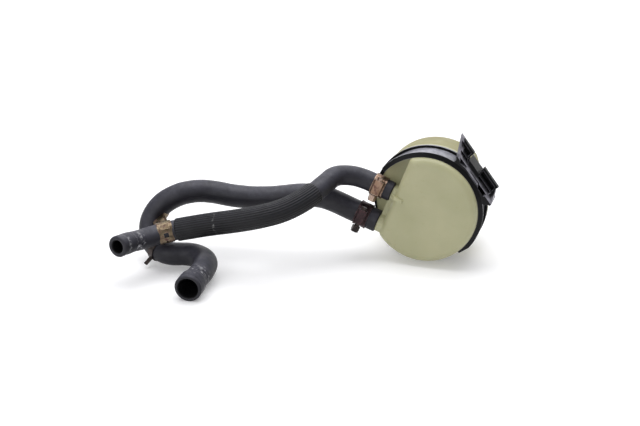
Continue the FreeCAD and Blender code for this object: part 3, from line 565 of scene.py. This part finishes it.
# The hose and sleeve looks carry a painted highlight on faces turned up.
RETURN_LOOK = rubber("return_rubber", srgb(24, 23, 32), srgb(200, 200, 204), [
    (return_length - 20, 3, 1.0), (return_length - 26, 8, 0.6), (return_length - 8, 3, 0.45), (14, 4, 0.4)])
SUCTION_LOOK = rubber("suction_rubber", srgb(23, 22, 31), srgb(185, 185, 190), [
    (suction_length - 19, 3, 0.9), (suction_length - 25, 7, 0.5), (suction_length - 10, 2, 0.35),
    (20, 4, 0.3)])
SLEEVE_LOOK = rubber("sleeve_rubber", srgb(14, 14, 17), srgb(150, 150, 150), [(100, 1.6, 0.9)],
                     0.25, (0.34, 0.5), 0.16)

RETURN_RINGS = [(8.0, 0.4, 1.1), (16.5, 0.3, 0.8), (20.0, 0.6, 1.1), (23.5, 0.45, 0.9),
                (27.0, 0.25, 0.8), (33.0, 0.2, 1.0)]
SUCTION_RINGS = [(3.5, 0.25, 0.7), (15.5, 0.5, 1.0), (19.0, 0.55, 1.0), (22.5, 0.45, 0.9),
                 (26.0, 0.3, 0.9)]
return_hose = sweep("return_hose_skin", return_path,
                    hose_section(RETURN_R, RETURN_R + RETURN_GROWTH, RETURN_RINGS),
                    AROUND, RETURN_LOOK, hose_inner(RETURN_BORE_R, RETURN_BORE_R))
suction_hose = sweep("suction_hose_skin", suction_path,
                     hose_section(SUCTION_R, BELL_R, SUCTION_RINGS),
                     AROUND, SUCTION_LOOK, hose_inner(SUCTION_BORE_R, BELL_BORE_R))

# ---- ribbed sleeve
SLEEVE_RIBS, RIB_HEIGHT = 30, 0.4
SLEEVE_WALL, SLEEVE_GAP, SLEEVE_LIP_R = 0.95, 0.12, 0.5
SLEEVE_FROM, SLEEVE_TO = 4, 10  # the route's runs whose middles it starts and ends at


def nearest_to_run(index):
    """The return path's point that is nearest to the middle of one of its route's runs."""
    middle = row((Vector(RETURN_ROUTE[index]) + Vector(RETURN_ROUTE[index + 1])) / 2)
    return min(range(len(return_path)), key=lambda i: (return_path[i] - middle).length)


def sleeve_section(s, angle, total):
    rib = 0.5 + 0.5 * math.cos(SLEEVE_RIBS * angle)
    return lip(s, total, RETURN_R + SLEEVE_WALL + RIB_HEIGHT * rib ** 2, SLEEVE_LIP_R)


sleeve_path = return_path[nearest_to_run(SLEEVE_FROM):nearest_to_run(SLEEVE_TO) + 1]
sleeve = sweep("sleeve_skin", sleeve_path, sleeve_section, 8 * SLEEVE_RIBS, SLEEVE_LOOK,
               lambda s, total: RETURN_R + SLEEVE_GAP)

for piece, node, slot in ((return_hose, "return_hose", "hose"), (suction_hose, "suction_hose", "hose"),
                          (sleeve, "ribbed_sleeve", "sleeve")):
    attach(piece, "reservoir")
    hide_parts(node)

row(RETURN_ROUTE[0])
row(SUCTION_ROUTE[0])

# ---- floor, world and lamps
FLOOR_HALF = 6.0
GLOW_FROM, GLOW_TO = 0.35, 1.6  # distances from the origin at which the floor's glow starts and is full
GLOW_LEAST = 0.22
DIM_SKY = 0.36


def ray_kinds(tree, *kinds):
    """1 for rays of any of the named kinds."""
    rays = add(tree, "ShaderNodeLightPath")
    return joined(tree, "MAXIMUM", *(rays.outputs["Is " + kind + " Ray"] for kind in kinds))


def make_floor():
    """White floor that keeps the shadows and turns as white as the background further out."""
    material, tree, shader = principled("floor_white", (0.88, 0.88, 0.90), 0.6, Specular_IOR_Level=0.2)
    far = add(tree, "ShaderNodeVectorMath", operation="LENGTH")
    tree.links.new(surface(tree, "Position"), far.inputs[0])
    level = span(tree, far.outputs["Value"], GLOW_FROM, GLOW_TO, GLOW_LEAST, 1.0,
                 interpolation_type="SMOOTHSTEP")
    glow = joined(tree, "MULTIPLY", ray_kinds(tree, "Camera", "Glossy", "Transmission"), level)
    shader.inputs["Emission Color"].default_value = (1, 1, 1, 1)
    tree.links.new(glow, shader.inputs["Emission Strength"])
    corners = [(x * FLOOR_HALF, y * FLOOR_HALF, 0) for x, y in ((-1, -1), (1, -1), (1, 1), (-1, 1))]
    new_piece("floor", corners, [(0, 1, 2, 3)], material, False)


def make_world():
    """White for the camera, dimmer for the light that it gives."""
    world = bpy.data.worlds.new("studio")
    bpy.context.scene.world = world
    world.use_nodes = True
    tree = world.node_tree
    tree.nodes.clear()
    choose = add(tree, "ShaderNodeMixShader")
    tree.links.new(ray_kinds(tree, "Camera", "Transmission"), choose.inputs[0])
    for socket, strength in ((1, DIM_SKY), (2, 1.0)):
        sky = add(tree, "ShaderNodeBackground")
        sky.inputs["Color"].default_value = (1, 1, 1, 1)
        sky.inputs["Strength"].default_value = strength
        tree.links.new(sky.outputs[0], choose.inputs[socket])
    output = add(tree, "ShaderNodeOutputWorld")
    tree.links.new(choose.outputs[0], output.inputs["Surface"])


def lamp(name, place, aim, size, power):
    data = bpy.data.lights.new(name, "AREA")
    data.shape = "RECTANGLE"
    data.size, data.size_y = size
    data.energy = power
    obj = bpy.data.objects.new(name, data)
    bpy.context.scene.collection.objects.link(obj)
    obj.location = place
    obj.rotation_euler = (Vector(aim) - Vector(place)).to_track_quat("-Z", "Y").to_euler()


make_floor()
make_world()
lamp("top_lamp", (-0.12, 0.15, 1.4), (-0.08, 0, 0), (1.6, 1.2), 19.0)
lamp("back_lamp", (-0.4, 1.7, 0.75), (-0.08, 0, 0.05), (2.4, 0.8), 10.0)
lamp("front_lamp", (-0.9, -1.3, 1.0), (-0.05, 0, 0.05), (1.1, 1.1), 4.5)
lamp("fill_lamp", (-0.25, -1.5, 0.5), (0.0, 0, 0.05), (0.6, 0.5), 2.2)

bpy.context.scene.view_settings.view_transform = "Standard"
